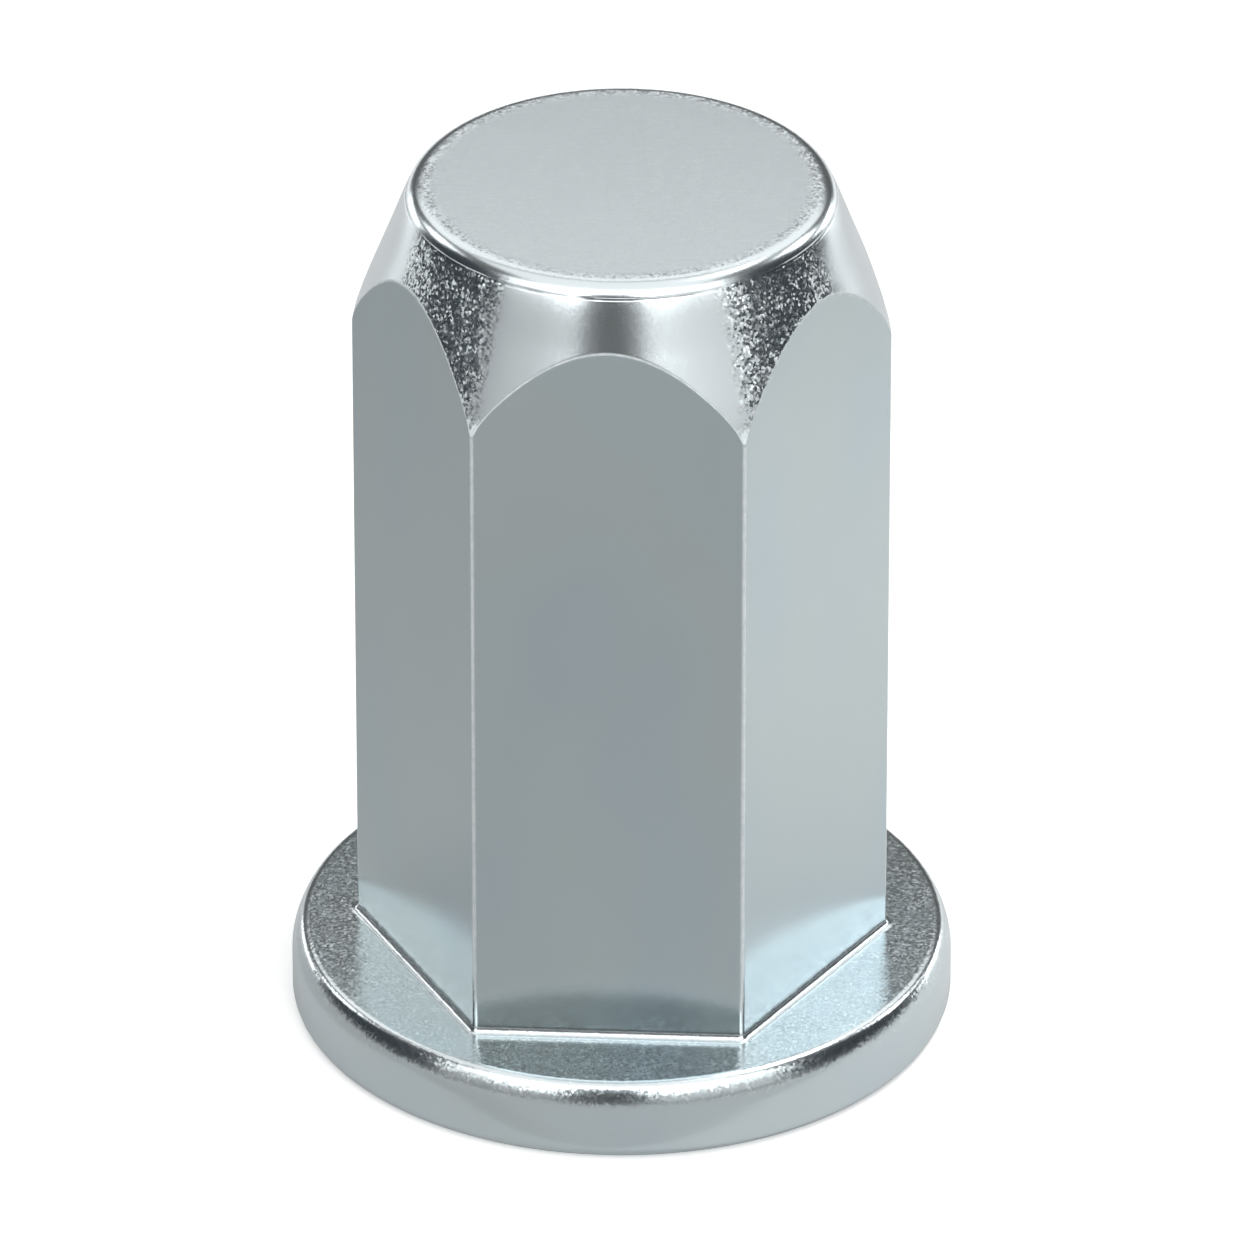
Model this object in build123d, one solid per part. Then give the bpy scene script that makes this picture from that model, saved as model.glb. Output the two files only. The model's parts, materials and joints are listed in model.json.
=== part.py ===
from build123d import *
import math
import os

# Closed-end rivet nut with a hexagonal shank and a flat round head, in millimetres.
# It is cold-formed in one piece from steel wire and stands on its head, closed end up.
# The origin is the centre of the head's outer face and +Z runs along the shank.

# Thread that the nut carries
THREAD_DIAMETER = 6.0
THREAD_PITCH = 1.0

# Round flat head
HEAD_DIAMETER = 13.0
HEAD_THICKNESS = 1.6
HEAD_FOOT_RADIUS = 0.25
HEAD_RIM_HEIGHT = 0.95
HEAD_RIM_DRAFT = 0.24
HEAD_EDGE_RADIUS = 0.22

# Hexagonal shank
ACROSS_FLATS = 9.05
CORNER_RADIUS = 0.12
ROOT_FILLET = 0.15

# Closed end
OVERALL_LENGTH = 18.0
END_FACE_DIAMETER = 7.56
END_EDGE_RADIUS = 0.38
SHOULDER_ANGLE = 21.6
SHOULDER_BLEND_RADIUS = 8.0
SHOULDER_CLEARANCE = 0.1
ARCH_EDGE_RADIUS = 0.12

# Blind bore: wide crush chamber, taper, thread, blunt bottom
CHAMBER_DIAMETER = 6.8
CHAMBER_DEPTH = 8.8
MOUTH_CHAMFER = 0.25
TAPER_ANGLE = 45.0
END_WALL = 2.0
BOTTOM_CONE_ANGLE = 75.0

HEAD_RADIUS = HEAD_DIAMETER / 2
CORNER_REACH = ACROSS_FLATS / math.sqrt(3)
MINOR_RADIUS = (THREAD_DIAMETER - THREAD_PITCH) / 2


def turned(section):
    """The solid that a half section, drawn as a face in the X-Z plane, sweeps about Z."""
    with BuildPart() as solid:
        with BuildSketch(Plane.XZ):
            add(section)
        revolve(axis=Axis.Z)
    return solid.part


def head_section():
    """Half section of the head: flat outer face, upright rim that rolls inwards, flat seat."""
    rim_top = (HEAD_RADIUS, HEAD_RIM_HEIGHT)
    seat_edge = (HEAD_RADIUS - HEAD_RIM_DRAFT, HEAD_THICKNESS)
    with BuildSketch() as section:
        with BuildLine():
            Polyline((0, 0), (HEAD_RADIUS, 0), rim_top)
            TangentArc(rim_top, seat_edge, tangent=(0, 1))
            Polyline(seat_edge, (0, HEAD_THICKNESS), (0, 0))
        make_face()
        foot_corner = section.vertices().group_by(Axis.Y)[0].sort_by(Axis.X)[-1]
        seat_corner = section.vertices().group_by(Axis.Y)[-1].sort_by(Axis.X)[-1]
        fillet(foot_corner, radius=HEAD_FOOT_RADIUS)
        fillet(seat_corner, radius=HEAD_EDGE_RADIUS)
    return section.sketch


def closed_end_section():
    """Half section of the closed end: flat face, rounded edge, conical shoulder, straight side."""
    slope = math.radians(SHOULDER_ANGLE)
    face_edge = (END_FACE_DIAMETER / 2, OVERALL_LENGTH)
    cone_top = (
        face_edge[0] + END_EDGE_RADIUS * math.cos(slope),
        OVERALL_LENGTH - END_EDGE_RADIUS * (1 - math.sin(slope)),
    )
    side = CORNER_REACH + SHOULDER_CLEARANCE
    cone_foot_radius = side - SHOULDER_BLEND_RADIUS * (1 - math.cos(slope))
    cone_foot = (cone_foot_radius, cone_top[1] - (cone_foot_radius - cone_top[0]) / math.tan(slope))
    side_top = (side, cone_foot[1] - SHOULDER_BLEND_RADIUS * math.sin(slope))
    with BuildSketch() as section:
        with BuildLine():
            Line((0, OVERALL_LENGTH), face_edge)
            TangentArc(face_edge, cone_top, tangent=(1, 0))
            Line(cone_top, cone_foot)
            TangentArc(cone_foot, side_top, tangent=(math.sin(slope), -math.cos(slope)))
            Polyline(side_top, (side, 0), (0, 0), (0, OVERALL_LENGTH))
        make_face()
    return section.sketch


def bore_section():
    """Half section of the blind bore, from the mouth in the head to the blunt bottom."""
    chamber = CHAMBER_DIAMETER / 2
    taper_end = CHAMBER_DEPTH + (chamber - MINOR_RADIUS) / math.tan(math.radians(TAPER_ANGLE))
    bottom = OVERALL_LENGTH - END_WALL
    bottom_edge = bottom - MINOR_RADIUS / math.tan(math.radians(BOTTOM_CONE_ANGLE))
    with BuildSketch() as section:
        with BuildLine():
            Polyline(
                (0, 0),
                (chamber + MOUTH_CHAMFER, 0),
                (chamber, MOUTH_CHAMFER),
                (chamber, CHAMBER_DEPTH),
                (MINOR_RADIUS, taper_end),
                (MINOR_RADIUS, bottom_edge),
                (0, bottom),
                (0, 0),
            )
        make_face()
    return section.sketch


def hexagonal_bar():
    """The shank's bar, one flat facing -Y, with its six long corners just broken."""
    with BuildPart() as bar:
        with BuildSketch():
            RegularPolygon(radius=CORNER_REACH, side_count=6)
        extrude(amount=OVERALL_LENGTH)
        fillet(bar.edges().filter_by(Axis.Z), radius=CORNER_RADIUS)
    return bar.part


def arch_edges(shank):
    """The six arched edges where the conical shoulder runs out into the flats."""
    upright = shank.faces().filter_by(GeomType.PLANE).filter_by(lambda face: abs(face.normal_at().Z) < 0.5)
    curved = [face.edges().filter_by(GeomType.LINE, reverse=True) for face in upright]
    return [edge for group in curved for edge in group]


def root_edges(body):
    """The edges where the shank's sides and corners stand on the head's seat."""
    on_seat = body.edges().filter_by_position(Axis.Z, HEAD_THICKNESS, HEAD_THICKNESS)
    return on_seat.filter_by(lambda edge: edge.length < ACROSS_FLATS)


def rivet_nut():
    """The nut: the head, the hexagon under its conical end, the root fillet and the bore."""
    shank = hexagonal_bar() & turned(closed_end_section())
    shank = fillet(arch_edges(shank), radius=ARCH_EDGE_RADIUS)
    body = turned(head_section()) + shank
    body = fillet(root_edges(body), radius=ROOT_FILLET)
    return body - turned(bore_section())


os.makedirs("parts", exist_ok=True)
nut = rivet_nut()
nut.label = "rivet_nut"
export_step(nut, "parts/rivet_nut.step")
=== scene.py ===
import json
import math

import bpy
import numpy as np
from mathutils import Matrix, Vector


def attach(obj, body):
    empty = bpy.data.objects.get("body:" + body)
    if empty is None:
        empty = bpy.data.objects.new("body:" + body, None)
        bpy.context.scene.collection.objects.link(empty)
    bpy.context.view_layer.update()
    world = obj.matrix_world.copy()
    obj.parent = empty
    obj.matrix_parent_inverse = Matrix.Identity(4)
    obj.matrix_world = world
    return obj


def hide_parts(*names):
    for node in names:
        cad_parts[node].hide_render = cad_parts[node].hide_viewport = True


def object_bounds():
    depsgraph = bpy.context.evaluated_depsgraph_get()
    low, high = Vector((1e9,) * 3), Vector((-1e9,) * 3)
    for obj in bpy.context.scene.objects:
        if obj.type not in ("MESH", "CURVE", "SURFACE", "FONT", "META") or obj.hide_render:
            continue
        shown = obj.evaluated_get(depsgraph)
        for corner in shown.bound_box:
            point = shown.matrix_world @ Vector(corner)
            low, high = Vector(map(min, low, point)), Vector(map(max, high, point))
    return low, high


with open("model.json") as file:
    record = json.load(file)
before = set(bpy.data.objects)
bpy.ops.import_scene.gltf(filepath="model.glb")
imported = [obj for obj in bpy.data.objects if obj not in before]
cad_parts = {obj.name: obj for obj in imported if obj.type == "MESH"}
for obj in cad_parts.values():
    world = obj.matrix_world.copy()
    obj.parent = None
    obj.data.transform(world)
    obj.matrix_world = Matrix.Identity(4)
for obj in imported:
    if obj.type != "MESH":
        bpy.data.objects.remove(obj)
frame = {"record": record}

cad_low, cad_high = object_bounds()

# The nut: one piece, cold-formed from steel wire. A round flat head carries a hexagonal
# shank, the shank's end is closed by a cone and a flat face, and the blind bore is wide
# behind the head and tapped M6 beyond it.

MM = 0.001
mounts = {mount["name"]: mount for mount in frame["record"]["mounts"]}

LENGTH = (cad_high.z - cad_low.z) / MM
HEAD_RADIUS = (cad_high.x - cad_low.x) / 2 / MM
SEAT_HEIGHT = mounts["head_seat"]["pos_m"][2] / MM
CHAMBER_RADIUS = mounts["crush_chamber"]["dims"]["r_mm"]
THREAD_MINOR_RADIUS = mounts["thread"]["dims"]["r_mm"]

APOTHEM = 4.525
CORNER_ROUND = 0.12
ROOT_FILLET = 0.15
END_FACE_RADIUS = 3.78
END_EDGE_ROUND = 0.38
SHOULDER_SLOPE = math.radians(21.6)
SHOULDER_BLEND = 3.0
SHOULDER_CLEARANCE = 0.02
SHOULDER_CROWN = 0.16
SHOULDER_CROWN_REACH = 0.42
CREASE_DEPTH = 0.024
CREASE_WIDTH = 0.07
ARCH_EDGE_ROUND = 0.25
HEAD_FOOT_ROUND = 0.25
RIM_HEIGHT = 0.95
RIM_DRAFT = 0.24
HEAD_EDGE_ROUND = 0.22
MOUTH_CHAMFER = 0.25
CHAMBER_DEPTH = 8.8
THREAD_PITCH = 1.0
THREAD_DEPTH = 0.5
THREAD_RUNOUT = 0.7
END_WALL = 2.0
BOTTOM_SLOPE = math.radians(75)
BOTTOM_DROP = THREAD_MINOR_RADIUS / math.tan(BOTTOM_SLOPE)

# Half the thread groove's mouth and the width of one of its flanks, as shares of the pitch.
GROOVE_HALF_MOUTH = 0.375
GROOVE_FLANK = 0.289

# The finish comes as shares from 0 to 1 on every ring: how grainy the surface is, how much it
# has the end face's brushed look, how much an edge is painted lighter, partly as rubbed wear and
# partly as painted highlight, how much the zinc is painted darker as shade, and the painted shade
# in the crease.
# The grain of corner and rim_top comes on top of smooth.
FINISHES = ("grain", "end_face", "edge", "drawn", "grime")
GRAIN = {
    "smooth": 0.05, "end_face": 0.03, "end_border": 0.53, "end_edge": 0.06, "corner": 0.5,
    "root": 0.3, "seat": 0.25, "rim_top": 0.3, "foot": 0.08, "bore": 0.3,
}
# Edges are painted lighter in noisy patches: partly rubbed wear, partly painted highlight.
EDGE_RUB_AND_HIGHLIGHT = {"arch": 0.5, "corner": 0.45, "root": 0.25}
# Shares of darker zinc painted as shade on the seat and the rim.
PAINTED_SHADE_SHARE = {"seat": 0.7, "rim": 0.6}
BORDER_START = 0.94
EDGE_GRAIN_LOSS = 1.2
EDGE_FACE_REACH = 0.3

# The cone is rough between these degrees either side of its front and back, and smooth elsewhere.
ROUGH_START = 28
ROUGH_FADE_IN = 7
ROUGH_END = 68
ROUGH_FADE_OUT = 8

# Degrees from a flat's middle at which the corner's finish starts, and over which it grows.
CORNER_START = 29.4
CORNER_FADE = 0.4

RINGS = {
    "end_face": 12, "end_edge": 15, "cone": 23, "arch_edge": 7, "side": 33, "root": 8,
    "seat": 15, "head_edge": 11, "rim": 13, "foot": 8, "mouth": 7, "chamber": 11, "bottom": 8,
}
THREAD_RING_STEP = 0.045
COLUMNS_PER_FLAT = 26
POLE_START = 0.05
POLE_END = 0.94


def steps(low, high, count):
    """Values after low and up to high, evenly spaced."""
    return np.linspace(low, high, count + 1)[1:]


def eased_steps(low, high, count):
    """Values after low and up to high, closer together at both ends, as half a cosine wave."""
    return low + (high - low) * (1 - np.cos(steps(0, math.pi, count))) / 2


def column_angles():
    """Angles about the axis: even across each flat and crowded where the corners are round."""
    beside = np.array([0, 0.22, 0.44, 0.66, 0.9, 1.3, 1.9])
    corner = np.concatenate([-beside[:0:-1], beside]) + 30
    flat = np.linspace(30 + beside[-1], 90 - beside[-1], COLUMNS_PER_FLAT)[1:-1]
    sextant = np.radians(np.concatenate([corner, flat]))
    return np.concatenate([sextant + k * math.pi / 3 for k in range(6)])


def angle_from_flat(angle):
    """Angle from the middle of the nearest flat, from minus to plus 30 degrees."""
    return (angle + math.pi / 6) % (math.pi / 3) - math.pi / 6


def hexagon_reach(angle, outset=0.0):
    """Distance from the axis to a hexagon with rounded corners, moved outwards by outset.

    On a flat it is the apothem over the cosine of the angle from that flat's middle; on a
    corner it is where the ray meets the corner's circle."""
    from_flat = angle_from_flat(angle)
    from_corner = math.pi / 6 - np.abs(from_flat)
    on_flat = (APOTHEM + outset) / np.cos(from_flat)
    centre = (APOTHEM - CORNER_ROUND) / math.cos(math.pi / 6)
    inside = np.maximum((CORNER_ROUND + outset) ** 2 - (centre * np.sin(from_corner)) ** 2, 0)
    on_corner = centre * np.cos(from_corner) + np.sqrt(inside)
    half_flat = (APOTHEM - CORNER_ROUND) * math.tan(math.pi / 6)
    arc_start = math.pi / 6 - math.atan(half_flat / (APOTHEM + outset))
    return np.where(from_corner < arc_start, on_corner, on_flat)


def shoulder_height(radius):
    """Height and slope of the conical shoulder at a radius: a cone, then an arc down to upright.

    The cone's top is crowned by a share of its reach times the square of what is left of it."""
    cone_top = END_FACE_RADIUS + END_EDGE_ROUND * math.cos(SHOULDER_SLOPE)
    cone_top_height = LENGTH - END_EDGE_ROUND * (1 - math.sin(SHOULDER_SLOPE))
    side = APOTHEM / math.cos(math.pi / 6) + SHOULDER_CLEARANCE
    arc_radius = side - SHOULDER_BLEND * (1 - math.cos(SHOULDER_SLOPE))
    across = np.clip((radius - cone_top) / SHOULDER_CROWN_REACH, 0, 1)
    crown = SHOULDER_CROWN * across * (1 - across) ** 2
    cone = cone_top_height - (radius - cone_top) / math.tan(SHOULDER_SLOPE) + crown
    arc_top = cone_top_height - (arc_radius - cone_top) / math.tan(SHOULDER_SLOPE)
    lean = np.arccos(np.clip(1 - (side - radius) / SHOULDER_BLEND, -1, 1))
    arc = arc_top - SHOULDER_BLEND * (math.sin(SHOULDER_SLOPE) - np.sin(lean))
    on_cone = radius < arc_radius
    return np.where(on_cone, cone, arc), np.where(on_cone, SHOULDER_SLOPE, lean)


def crease_depth(angle):
    """Depth of the crease round the axis: a slow wave, and a quick one that comes and goes."""
    slow = 0.35 * np.sin(7 * angle + 0.6)
    quick = 0.35 * np.sin(31 * angle) * np.sin(12 * angle)
    return CREASE_DEPTH * np.clip(0.45 + slow + quick, 0, 1)


def cone_grain(angle):
    """Grain of the cone round the axis: two rough stretches on either side, smooth between."""
    from_front = np.degrees(np.abs((angle + math.pi / 2) % math.pi - math.pi / 2))
    starting = np.clip((from_front - ROUGH_START) / ROUGH_FADE_IN, 0, 1)
    ending = np.clip((ROUGH_END - from_front) / ROUGH_FADE_OUT, 0, 1)
    return GRAIN["smooth"] + (1 - GRAIN["smooth"]) * starting * ending


def arch_edge(angle):
    """Where cone and sides meet: radius and height of the rounding's start and of the bare
    edge, and the height of the rounding's end."""
    reach = hexagon_reach(angle)
    arch, slope = shoulder_height(reach)
    run = ARCH_EDGE_ROUND * np.tan(slope / 2)
    start_radius = reach - run * np.sin(slope)
    return start_radius, shoulder_height(start_radius)[0], reach, arch, arch - run


class Skin:
    """Rings of a surface from one pole to the other, each with a value for every column."""

    def __init__(self, angle):
        self.angle = angle
        self.rings = []

    def ring(self, radius, height, grain, end_face=0.0, edge=0.0, drawn=0.0, grime=0.0):
        values = (radius, height, grain, end_face, edge, drawn, grime)
        self.rings.append([np.broadcast_to(value, self.angle.shape) for value in values])


def add_closed_end(skin):
    """The flat end face, its round edge, an uneven crease, the cone and the arches' edges."""
    face_grain, border_grain = GRAIN["end_face"], GRAIN["end_border"]
    inner = np.linspace(POLE_START, BORDER_START, RINGS["end_face"])
    for share in np.append(inner, steps(BORDER_START, 1, 2)):
        border = max(0.0, share - BORDER_START) / (1 - BORDER_START)
        grain = face_grain + (border_grain - face_grain) * border
        skin.ring(END_FACE_RADIUS * share, LENGTH, grain, end_face=1.0)
    for lean in steps(0, math.pi / 2 - SHOULDER_SLOPE, RINGS["end_edge"]):
        radius = END_FACE_RADIUS + END_EDGE_ROUND * math.sin(lean)
        height = LENGTH - END_EDGE_ROUND * (1 - math.cos(lean))
        grain = max(GRAIN["end_edge"], border_grain - EDGE_GRAIN_LOSS * lean)
        skin.ring(radius, height, grain, end_face=max(0.0, 1 - lean / EDGE_FACE_REACH))

    rough = cone_grain(skin.angle)
    deepest = crease_depth(skin.angle)
    crease_top = skin.rings[-1][0]
    for share, held in ((0.5, 1.0), (1.0, 0.0)):
        inward = held * deepest
        radius = crease_top + CREASE_WIDTH * share * math.sin(SHOULDER_SLOPE)
        height = shoulder_height(radius)[0] - inward * math.sin(SHOULDER_SLOPE)
        radius = radius - inward * math.cos(SHOULDER_SLOPE)
        # The crease is painted darker as shade, in step with its depth.
        skin.ring(radius, height, rough, grime=inward / CREASE_DEPTH)

    start_radius, start_height, reach, arch, end_height = arch_edge(skin.angle)
    cone_top = skin.rings[-1][0]
    for share in eased_steps(0, 1, RINGS["cone"]):
        radius = cone_top + (start_radius - cone_top) * share
        skin.ring(radius, shoulder_height(radius)[0], rough)
    for share in steps(0, 1, RINGS["arch_edge"]):
        first, middle, last = (1 - share) ** 2, 2 * share * (1 - share), share ** 2
        radius = first * start_radius + (middle + last) * reach
        height = first * start_height + middle * arch + last * end_height
        grain = rough * (1 - share) + GRAIN["smooth"] * share
        # The arch edge is painted lighter in its middle as rubbed wear and painted highlight, and the
        # sides below it darker as painted shade.
        rub = EDGE_RUB_AND_HIGHLIGHT["arch"] * math.sin(math.pi * share) ** 2
        skin.ring(radius, height, grain, edge=rub, drawn=share)


def add_shank(skin):
    """The sides, smooth from drawing and painted darker as shade, with corners painted lighter as rubbed
    wear and painted highlight, and the small fillet at their root.
    """
    from_middle = np.degrees(np.abs(angle_from_flat(skin.angle)))
    corner = np.clip((from_middle - CORNER_START) / CORNER_FADE, 0, 1)
    side_grain = GRAIN["smooth"] + GRAIN["corner"] * corner
    reach = hexagon_reach(skin.angle)
    top = arch_edge(skin.angle)[-1]
    root = SEAT_HEIGHT + ROOT_FILLET
    for share in eased_steps(0, 1, RINGS["side"]):
        height = top + (root - top) * share
        # The flats are painted darker as shade; the corners are painted lighter, partly as rubbed wear
        # and partly as painted highlight.
        skin.ring(reach, height, side_grain, edge=EDGE_RUB_AND_HIGHLIGHT["corner"] * corner, drawn=1 - corner)
    for lean in steps(0, math.pi / 2, RINGS["root"]):
        radius = hexagon_reach(skin.angle, ROOT_FILLET * (1 - math.cos(lean)))
        height = root - ROOT_FILLET * math.sin(lean)
        # The root fillet is painted lighter in its middle as rubbed wear and painted highlight.
        skin.ring(radius, height, GRAIN["root"], edge=EDGE_RUB_AND_HIGHLIGHT["root"] * math.sin(2 * lean))


def add_head(skin):
    """The head: its flat seat, round upper edge, rim that rolls inwards as an arc, and foot."""
    bulge = (RIM_DRAFT ** 2 + (SEAT_HEIGHT - RIM_HEIGHT) ** 2) / (2 * RIM_DRAFT)
    drop = SEAT_HEIGHT - HEAD_EDGE_ROUND - RIM_HEIGHT
    edge_centre = HEAD_RADIUS - bulge + math.sqrt((bulge - HEAD_EDGE_ROUND) ** 2 - drop ** 2)
    edge_lean = math.asin(drop / (bulge - HEAD_EDGE_ROUND))
    seat_root = hexagon_reach(skin.angle, ROOT_FILLET)
    for share in eased_steps(0, 1, RINGS["seat"]):
        radius = seat_root + (edge_centre - seat_root) * share
        # The seat is painted darker as shade.
        skin.ring(radius, SEAT_HEIGHT, GRAIN["seat"], drawn=PAINTED_SHADE_SHARE["seat"])
    for lean in steps(math.pi / 2, edge_lean, RINGS["head_edge"]):
        radius = edge_centre + HEAD_EDGE_ROUND * math.cos(lean)
        height = SEAT_HEIGHT - HEAD_EDGE_ROUND * (1 - math.sin(lean))
        skin.ring(radius, height, GRAIN["seat"])
    for lean in steps(edge_lean, 0, RINGS["rim"]):
        radius = HEAD_RADIUS - bulge * (1 - math.cos(lean))
        height = RIM_HEIGHT + bulge * math.sin(lean)
        grain = GRAIN["smooth"] + GRAIN["rim_top"] * lean / edge_lean
        # The rim is painted darker as shade.
        skin.ring(radius, height, grain, drawn=PAINTED_SHADE_SHARE["rim"])
    for lean in np.linspace(0, math.pi / 2, RINGS["foot"]):
        radius = HEAD_RADIUS - HEAD_FOOT_ROUND * (1 - math.cos(lean))
        height = HEAD_FOOT_ROUND * (1 - math.sin(lean))
        # The foot is painted darker as shade too.
        skin.ring(radius, height, GRAIN["foot"], drawn=PAINTED_SHADE_SHARE["rim"])


def add_bore(skin):
    """The outer face and the bore: mouth, crush chamber, taper, thread and blunt bottom.

    The thread is a groove whose depth is a trapezoid wave of height over pitch less the turn
    about the axis. The taper cuts its start, and it fades out over the run-out at its end."""
    grain = GRAIN["bore"]
    mouth = CHAMBER_RADIUS + MOUTH_CHAMFER
    for radius in steps(HEAD_RADIUS - HEAD_FOOT_ROUND, mouth, RINGS["mouth"]):
        skin.ring(radius, 0.0, grain)
    for share in (0.08, 0.92, 1.0):
        skin.ring(mouth - MOUTH_CHAMFER * share, MOUTH_CHAMFER * share, grain)
    for height in eased_steps(MOUTH_CHAMFER, CHAMBER_DEPTH, RINGS["chamber"]):
        skin.ring(CHAMBER_RADIUS, height, grain)
    taper = CHAMBER_RADIUS - THREAD_MINOR_RADIUS
    thread_end = LENGTH - END_WALL - BOTTOM_DROP
    for height in np.arange(CHAMBER_DEPTH, thread_end, THREAD_RING_STEP)[1:]:
        phase = (height / THREAD_PITCH - skin.angle / (2 * math.pi)) % 1
        groove = np.clip((GROOVE_HALF_MOUTH - np.abs(phase - 0.5)) / GROOVE_FLANK, 0, 1)
        fade = min(1.0, (thread_end - height) / THREAD_RUNOUT)
        cone = CHAMBER_RADIUS - min(taper, height - CHAMBER_DEPTH)
        threaded = THREAD_MINOR_RADIUS + THREAD_DEPTH * groove * fade
        skin.ring(np.maximum(threaded, cone), height, grain)
    for share in np.linspace(0, POLE_END, RINGS["bottom"]):
        skin.ring(THREAD_MINOR_RADIUS * (1 - share), thread_end + BOTTOM_DROP * share, grain)


def nut_mesh(name):
    """A closed shell of rings: four-sided faces between neighbours and a fan at each pole."""
    angle = column_angles()
    skin = Skin(angle)
    for add in (add_closed_end, add_shank, add_head, add_bore):
        add(skin)
    radius, height, *finish = np.array(skin.rings).transpose(1, 0, 2)
    points = np.stack([radius * np.sin(angle), -radius * np.cos(angle), height], -1)
    count, columns = radius.shape
    index = np.arange(count * columns).reshape(count, columns)
    right = np.roll(index, -1, 1)
    quads = np.stack([index[:-1], index[1:], right[1:], right[:-1]], -1).reshape(-1, 4)
    end_pole, bore_pole = count * columns, count * columns + 1
    end_fan = np.stack([np.full(columns, end_pole), index[0], right[0]], -1)
    bore_fan = np.stack([np.full(columns, bore_pole), right[-1], index[-1]], -1)
    poles = [(0, 0, LENGTH), (0, 0, LENGTH - END_WALL)]
    places = np.vstack([points.reshape(-1, 3), poles]) * MM
    faces = quads.tolist() + end_fan.tolist() + bore_fan.tolist()
    mesh = bpy.data.meshes.new(name)
    mesh.from_pydata(places.tolist(), [], faces)
    for label, values in zip(FINISHES, finish):
        attribute = mesh.attributes.new(label, "FLOAT", "POINT")
        with_poles = np.append(values.ravel(), [values[0, 0], values[-1, 0]])
        attribute.data.foreach_set("value", with_poles.astype(np.float32))
    mesh.shade_smooth()
    mesh.update()
    return mesh


nut = bpy.data.objects.new("nut", nut_mesh("nut"))
bpy.context.scene.collection.objects.link(nut)
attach(nut, "root")
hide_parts("rivet_nut")


# The plating: bright zinc, faintly blue, over cold-formed steel. The end face is faintly
# brushed, two stretches of the cone sparkle with crystals, and the drawn flats are almost
# smooth. The flats, seat and rim are painted darker as shade, edges are painted lighter in
# places, partly as rubbed wear and partly as painted highlight, and the crease is painted
# darker as shade.


class Shade:
    """A socket of a material. Arithmetic adds Math nodes, and node() adds any other node."""

    def __init__(self, tree, socket=None):
        self.tree = tree
        self.socket = socket

    def node(self, kind, settings=None, inputs=None, output=0):
        """A new node: first its settings, then the values or links of its sockets."""
        made = self.tree.nodes.new(kind)
        for name, value in (settings or {}).items():
            setattr(made, name, value)
        for name, value in (inputs or {}).items():
            if isinstance(value, Shade):
                self.tree.links.new(value.socket, made.inputs[name])
            else:
                made.inputs[name].default_value = value
        return Shade(self.tree, made.outputs[output])

    def maths(self, operation, first, second):
        return self.node("ShaderNodeMath", {"operation": operation}, {0: first, 1: second})

    def __add__(self, other):
        return self.maths("ADD", self, other)

    __radd__ = __add__

    def __mul__(self, other):
        return self.maths("MULTIPLY", self, other)

    __rmul__ = __mul__

    def noise(self, scale, detail=1.0, stretch=(1, 1, 1)):
        """Noise from 0 to 1 over the surface, stretched along the axes; scale is per millimetre."""
        scaled = self.node("ShaderNodeMapping", {}, {"Vector": self, "Scale": stretch})
        settings = {"noise_dimensions": "3D"}
        inputs = {"Vector": scaled, "Scale": scale / MM, "Detail": detail, "Roughness": 0.55}
        return self.node("ShaderNodeTexNoise", settings, inputs)

    def between(self, low, high):
        """This value's share of the way from low to high, kept within 0 and 1."""
        inputs = {"Value": self, "From Min": low, "From Max": high}
        return self.node("ShaderNodeMapRange", {"clamp": True}, inputs)


ZINC_PRESSED = (0.755, 0.82, 0.845, 1)
# Darker zinc in two tints, painted as shade on the flats, seat, rim and foot.
ZINC_PAINTED_SHADE = (0.496, 0.554, 0.562, 1)
ZINC_PAINTED_SHADE_BLUE = (0.472, 0.546, 0.576, 1)
# Pale zinc: for the end face's flecks and the specks, and on edges as rubbed wear and painted highlight.
ZINC_PALE_AND_HIGHLIGHT = (0.92, 0.945, 0.95, 1)
# Painted shade in the crease.
ZINC_CREASE_SHADE = (0.18, 0.17, 0.16, 1)
FLECK_STRENGTH = 0.2
SPECK_STRENGTH = 0.5
PLAIN_ROUGHNESS = 0.2
CLOUD_ROUGHNESS = 0.04
END_FACE_ROUGHNESS = 0.08
RUBBED_ROUGHNESS = 0.15
FACETS_PER_MM = 20
FACET_TILT = 0.33
FLECK_TILT = 0.05
STREAK_HEIGHT = 0.15
BUMP_STRENGTH = 0.4
BUMP_DISTANCE = 0.01 * MM

plating = bpy.data.materials.new("zinc_plating")
plating.use_nodes = True
tree = plating.node_tree
surface = tree.nodes["Principled BSDF"]
place = Shade(tree).node("ShaderNodeTexCoord", output="Object")


def finish_share(label):
    """One of the mesh's shares of finish, from 0 to 1 over the surface."""
    return place.node("ShaderNodeAttribute", {"attribute_name": label}, output="Fac")


def mixed(factor, first, second):
    """A colour on the way from the first to the second."""
    inputs = {"Factor": factor, "A": first, "B": second}
    return place.node("ShaderNodeMix", {"data_type": "RGBA"}, inputs, output="Result")


def vector_maths(operation, inputs):
    """A Vector Math node on vectors, or on a vector and its scale."""
    return place.node("ShaderNodeVectorMath", {"operation": operation}, inputs)


grain, end_face, edge, drawn, grime = [finish_share(label) for label in FINISHES]

# Each pattern is noise of so many cells per millimetre, cut to the part of its range that shows.
# Patches where edges are painted lighter, as rubbed wear and painted highlight.
rub_and_highlight_patches = place.noise(6).between(0.38, 0.6)
clouds = place.noise(0.8)
patches = place.noise(3.5).between(0.3, 0.65)
flecks = place.noise(13, stretch=(0.3, 1, 1)).between(0.5, 0.75)
specks = place.noise(15).between(0.52, 0.66)
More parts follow.
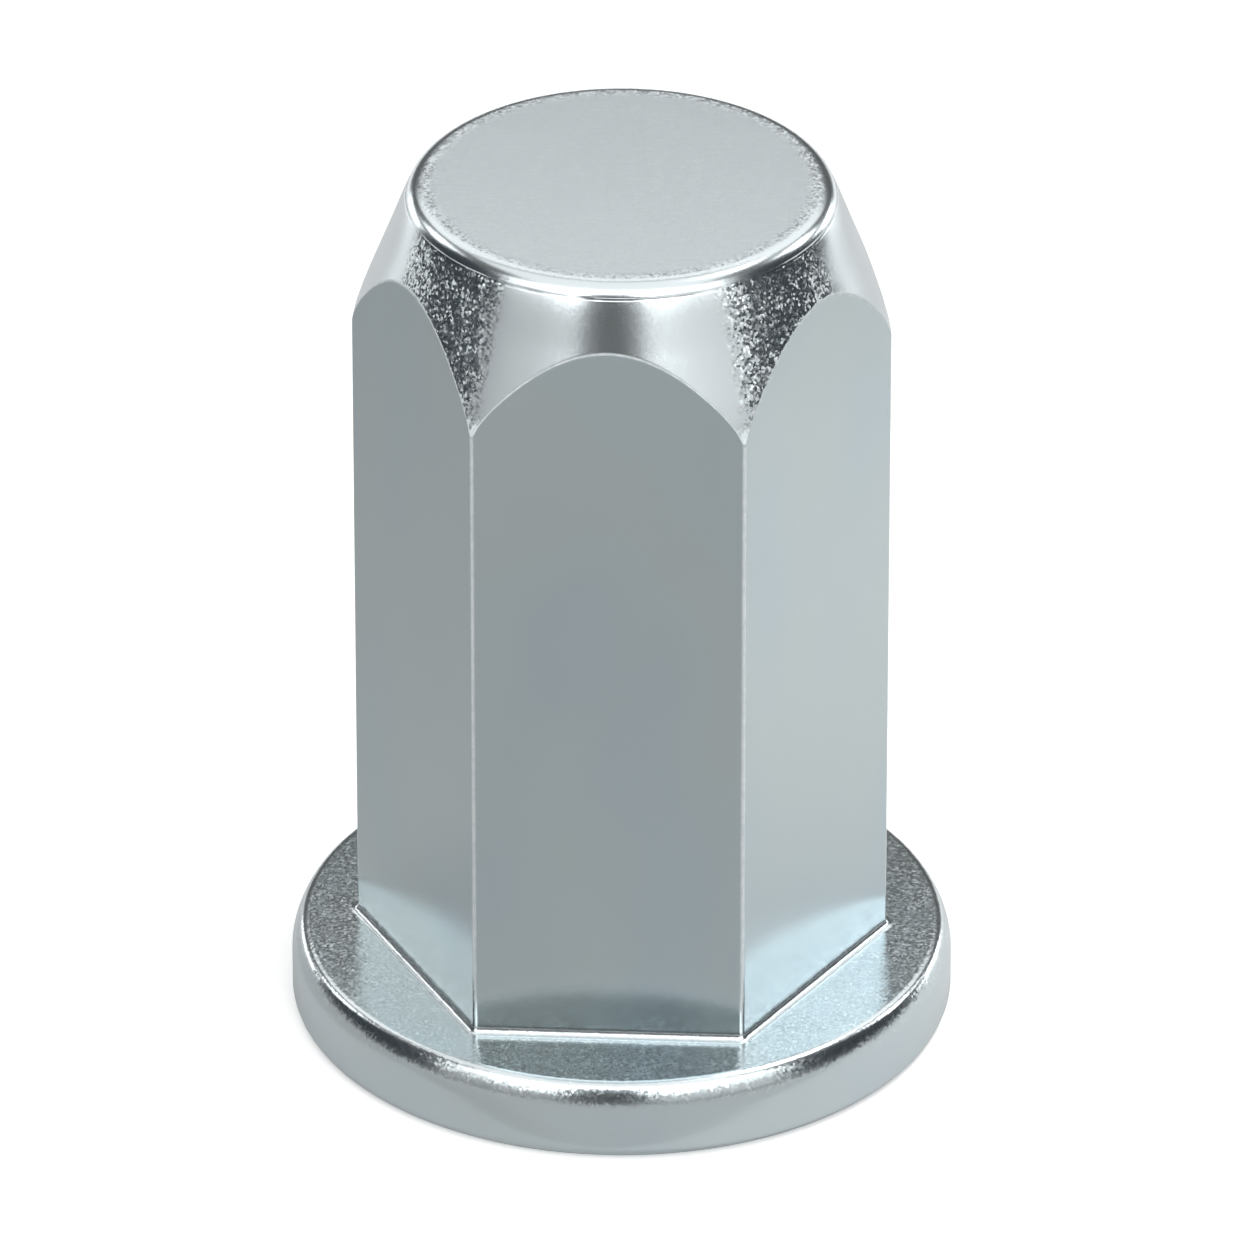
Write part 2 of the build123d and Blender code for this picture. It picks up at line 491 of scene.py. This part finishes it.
# Patches of the painted shade in the crease.
crease_shade_patches = place.noise(5).between(0.35, 0.55)
tint = place.noise(0.32, stretch=(1, 1, 0.6)).between(0.38, 0.62)
streaks = place.noise(16, stretch=(0.16, 1, 1))
pebbles = place.noise(12, detail=0.0)

# The zinc is painted darker as shade by its painted-shade share.
colour = mixed(drawn, ZINC_PRESSED, mixed(tint, ZINC_PAINTED_SHADE, ZINC_PAINTED_SHADE_BLUE))
colour = mixed(flecks * end_face * FLECK_STRENGTH, colour, ZINC_PALE_AND_HIGHLIGHT)
colour = mixed(specks * patches * grain.between(0.1, 0.25) * SPECK_STRENGTH, colour, ZINC_PALE_AND_HIGHLIGHT)
# Edges are painted lighter: partly rubbed wear, partly painted highlight.
colour = mixed(edge * rub_and_highlight_patches, colour, ZINC_PALE_AND_HIGHLIGHT)
# The crease is painted darker as shade.
colour = mixed(grime * crease_shade_patches, colour, ZINC_CREASE_SHADE)
roughness = PLAIN_ROUGHNESS + CLOUD_ROUGHNESS * clouds
roughness = roughness + END_FACE_ROUGHNESS * end_face + RUBBED_ROUGHNESS * edge

# Each crystal of the zinc is a small facet with a tilt of its own, so rough places sparkle.
facet_inputs = {"Vector": place, "Scale": FACETS_PER_MM / MM, "Randomness": 1.0}
facet = place.node("ShaderNodeTexVoronoi", {"voronoi_dimensions": "3D"}, facet_inputs, output="Color")
tilt = vector_maths("SUBTRACT", {0: facet, 1: (0.5, 0.5, 0.5)})
tilt_share = grain * (0.5 + 0.5 * patches) + FLECK_TILT * flecks * end_face
tilt = vector_maths("SCALE", {0: tilt, "Scale": FACET_TILT * tilt_share})
height = pebbles * grain + streaks * end_face * STREAK_HEIGHT
bump_inputs = {"Strength": BUMP_STRENGTH, "Distance": BUMP_DISTANCE, "Height": height}
bump = place.node("ShaderNodeBump", {}, bump_inputs)
normal = vector_maths("NORMALIZE", {0: vector_maths("ADD", {0: bump, 1: tilt})})

surface.inputs["Metallic"].default_value = 1.0
tree.links.new(colour.socket, surface.inputs["Base Color"])
tree.links.new(roughness.socket, surface.inputs["Roughness"])
tree.links.new(normal.socket, surface.inputs["Normal"])
nut.data.materials.append(plating)


# The studio: a pale floor, soft boxes round the nut and a spot on the floor behind its right
# side. Dark cards stand at its sides and in front, and grey sheets lie round it, so that the
# metal has something darker to show.

FLOOR_HALF = 1.0
FLOOR_HEIGHT = -0.00001
FLOOR_COLOUR = (0.86, 0.86, 0.86, 1)
FLOOR_LIFT = 0.35
CARD_ROUGHNESS = 0.9
NUT_MIDDLE = Vector((0, 0, LENGTH * MM / 2))


def plain_material(name, colour, roughness=CARD_ROUGHNESS):
    """A matt material of one colour, for what isn't part of the object."""
    material = bpy.data.materials.new(name)
    material.use_nodes = True
    made = material.node_tree.nodes["Principled BSDF"]
    made.inputs["Base Color"].default_value = colour
    made.inputs["Roughness"].default_value = roughness
    made.inputs["Specular IOR Level"].default_value = 0.0
    return material


def panel(name, corners, material):
    """A flat four-cornered sheet that isn't part of the object."""
    mesh = bpy.data.meshes.new(name)
    mesh.from_pydata(corners, [], [(0, 1, 2, 3)])
    mesh.materials.append(material)
    made = bpy.data.objects.new(name, mesh)
    bpy.context.scene.collection.objects.link(made)
    return made


def lying(low, high, height):
    """The four corners of a level sheet, from its low to its high corner."""
    (left, near), (right, far) = low, high
    return [(left, near, height), (right, near, height), (right, far, height), (left, far, height)]


def direction(azimuth, elevation):
    """Unit vector to a place seen from the nut: azimuth 0 is the front, 90 is +X."""
    turn, rise = math.radians(azimuth), math.radians(elevation)
    return Vector((math.sin(turn) * math.cos(rise), -math.cos(turn) * math.cos(rise), math.sin(rise)))


def place_lamp(name, data, location, facing):
    """A lamp at a place, with facing pointing back from what it lights. The camera doesn't see it."""
    made = bpy.data.objects.new(name, data)
    made.location = location
    made.rotation_mode = "QUATERNION"
    made.rotation_quaternion = facing.to_track_quat("Z", "Y")
    made.visible_camera = False
    bpy.context.scene.collection.objects.link(made)


def softbox(name, azimuth, elevation, distance, width, height, radiance):
    """A soft box that faces the nut; its power gives the stated radiance over its area."""
    lamp = bpy.data.lights.new(name, "AREA")
    lamp.shape = "RECTANGLE"
    lamp.size = width
    lamp.size_y = height
    lamp.energy = radiance * math.pi * width * height
    towards = direction(azimuth, elevation)
    place_lamp(name, lamp, NUT_MIDDLE + towards * distance, towards)


floor_material = plain_material("floor", FLOOR_COLOUR, roughness=1.0)
floor_material.cycles.emission_sampling = "NONE"
panel("floor", lying((-FLOOR_HALF, -FLOOR_HALF), (FLOOR_HALF, FLOOR_HALF), FLOOR_HEIGHT), floor_material)

# The camera and the metal see the floor paler by FLOOR_LIFT, so that it looks white in plain
# light and still holds the nut's shadow. It adds no light to the nut.
floor_tree = floor_material.node_tree
floor_shade = Shade(floor_tree, floor_tree.nodes["Principled BSDF"].outputs[0])
seen = floor_shade.node("ShaderNodeLightPath", output="Is Camera Ray")
for ray in ("Is Glossy Ray", "Is Transmission Ray"):
    seen = seen + floor_shade.node("ShaderNodeLightPath", output=ray)
lift = floor_shade.node("ShaderNodeEmission", {}, {"Color": (1, 1, 1, 1), "Strength": seen * FLOOR_LIFT})
lifted = floor_shade.node("ShaderNodeAddShader", {}, {0: floor_shade, 1: lift})
floor_tree.links.new(lifted.socket, floor_tree.nodes["Material Output"].inputs["Surface"])

# Name, azimuth and elevation in degrees, distance, width and height in metres, and radiance.
for box in (
    ("box_front", 0, 42, 0.25, 0.26, 0.18, 2.0),
    ("box_over", 0, 88, 0.25, 0.34, 0.24, 0.95),
    ("box_right_back", 117, 32, 0.25, 0.09, 0.08, 3.3),
    ("box_left_back", -117, 32, 0.25, 0.09, 0.08, 2.0),
    ("box_back", 180, 48, 0.115, 0.14, 0.066, 1.05),
    ("strip_front_left", -36, 9, 0.25, 0.22, 0.06, 0.4),
    ("strip_front_right", 36, 9, 0.25, 0.22, 0.06, 0.65),
    ("row_front_left", -38, 34, 0.25, 0.2, 0.15, 1.5),
    ("row_front_right", 38, 34, 0.25, 0.2, 0.15, 1.6),
    ("strip_back_left", -132, 6, 0.25, 0.1, 0.06, 2.2),
    ("strip_back_right", 132, 6, 0.25, 0.1, 0.06, 3.7),
):
    softbox(*box)

KICKER_PLACE = direction(117, 60) * 0.2
KICKER_TARGET = Vector((0.021, 0.0105, 0))
spot = bpy.data.lights.new("kicker", "SPOT")
spot.energy = 1.05
spot.shadow_soft_size = 0.02
spot.spot_size = math.radians(16)
spot.spot_blend = 1.0
place_lamp("kicker", spot, KICKER_PLACE, KICKER_PLACE - KICKER_TARGET)

# Each side card has a high part in front and a low part behind, so that it leaves the boxes
# at the back in view of the head's seat.
SIDE_CARD_X = 0.07
SIDE_CARD_FOOT = 0.008
SIDE_CARD_TOP = 0.065
SIDE_CARD_LOW_TOP = 0.028
SIDE_CARD_STEP_Y = 0.024
dark = plain_material("dark_card", (0.03, 0.038, 0.046, 1))
for label, x, front, back in (
    ("left", -SIDE_CARD_X, -0.0437, 0.0404),
    ("right", SIDE_CARD_X, -0.0388, 0.0527),
):
    for part, near, far, top in (
        ("high", front, SIDE_CARD_STEP_Y, SIDE_CARD_TOP),
        ("low", SIDE_CARD_STEP_Y, back, SIDE_CARD_LOW_TOP),
    ):
        corners = [(x, near, SIDE_CARD_FOOT), (x, far, SIDE_CARD_FOOT), (x, far, top), (x, near, top)]
        card = panel("card_" + label + "_" + part, corners, dark)
        card.visible_camera = False

FRONT_CARD_Y = -0.2
FRONT_CARD_LEFT, FRONT_CARD_RIGHT = -0.055, 0.042
FRONT_CARD_FOOT, FRONT_CARD_TOP = 0.035, 0.16
front_corners = [
    (FRONT_CARD_LEFT, FRONT_CARD_Y, FRONT_CARD_FOOT),
    (FRONT_CARD_RIGHT, FRONT_CARD_Y, FRONT_CARD_FOOT),
    (FRONT_CARD_RIGHT, FRONT_CARD_Y, FRONT_CARD_TOP),
    (FRONT_CARD_LEFT, FRONT_CARD_Y, FRONT_CARD_TOP),
]
front_card = panel("card_front", front_corners, plain_material("front_card", (0.03, 0.032, 0.034, 1)))
front_card.visible_camera = False

# Grey sheets lie on the floor, darker ones in front and to the left. Only the metal shows them.
for label, shade, height, low, high in (
    ("all_round", 0.68, 0.00002, (-0.06, -0.06), (0.06, 0.06)),
    ("front", 0.56, 0.00004, (-0.016, -0.045), (0.018, -0.0068)),
    ("left", 0.55, 0.00006, (-0.045, -0.010), (-0.0085, 0.024)),
):
    grey = plain_material("grey_sheet_" + label, (shade, shade, shade, 1))
    sheet = panel("sheet_" + label, lying(low, high, height), grey)
    sheet.visible_camera = False
    sheet.visible_shadow = False
    sheet.visible_diffuse = False

WORLD_COLOUR = (0.09, 0.09, 0.09, 1)
world = bpy.data.worlds.new("studio")
bpy.context.scene.world = world
world.use_nodes = True
background = world.node_tree.nodes["Background"]
background.inputs["Color"].default_value = WORLD_COLOUR
background.inputs["Strength"].default_value = 1.0


# The camera: a long lens, looking down on the nut from a little to the right of one flat.
# Its place and lens were solved together with the nut's proportions.

CAMERA_TURN = math.radians(3.3)
CAMERA_DISTANCE = 0.247
CAMERA_HEIGHT = 0.15166
AIM = Vector((0.000105, 0, 0.00818))
LENS = 420.9
SENSOR_WIDTH = 36.0

camera = bpy.data.objects.new("camera", bpy.data.cameras.new("camera"))
camera.data.sensor_width = SENSOR_WIDTH
camera.data.lens = LENS
camera.data.clip_start = 0.01
camera_x = CAMERA_DISTANCE * math.sin(CAMERA_TURN)
camera_y = -CAMERA_DISTANCE * math.cos(CAMERA_TURN)
camera.location = (camera_x, camera_y, CAMERA_HEIGHT)
camera.rotation_mode = "QUATERNION"
camera.rotation_quaternion = (camera.location - AIM).to_track_quat("Z", "Y")
bpy.context.scene.collection.objects.link(camera)
bpy.context.scene.camera = camera
bpy.context.scene.view_settings.view_transform = "Standard"
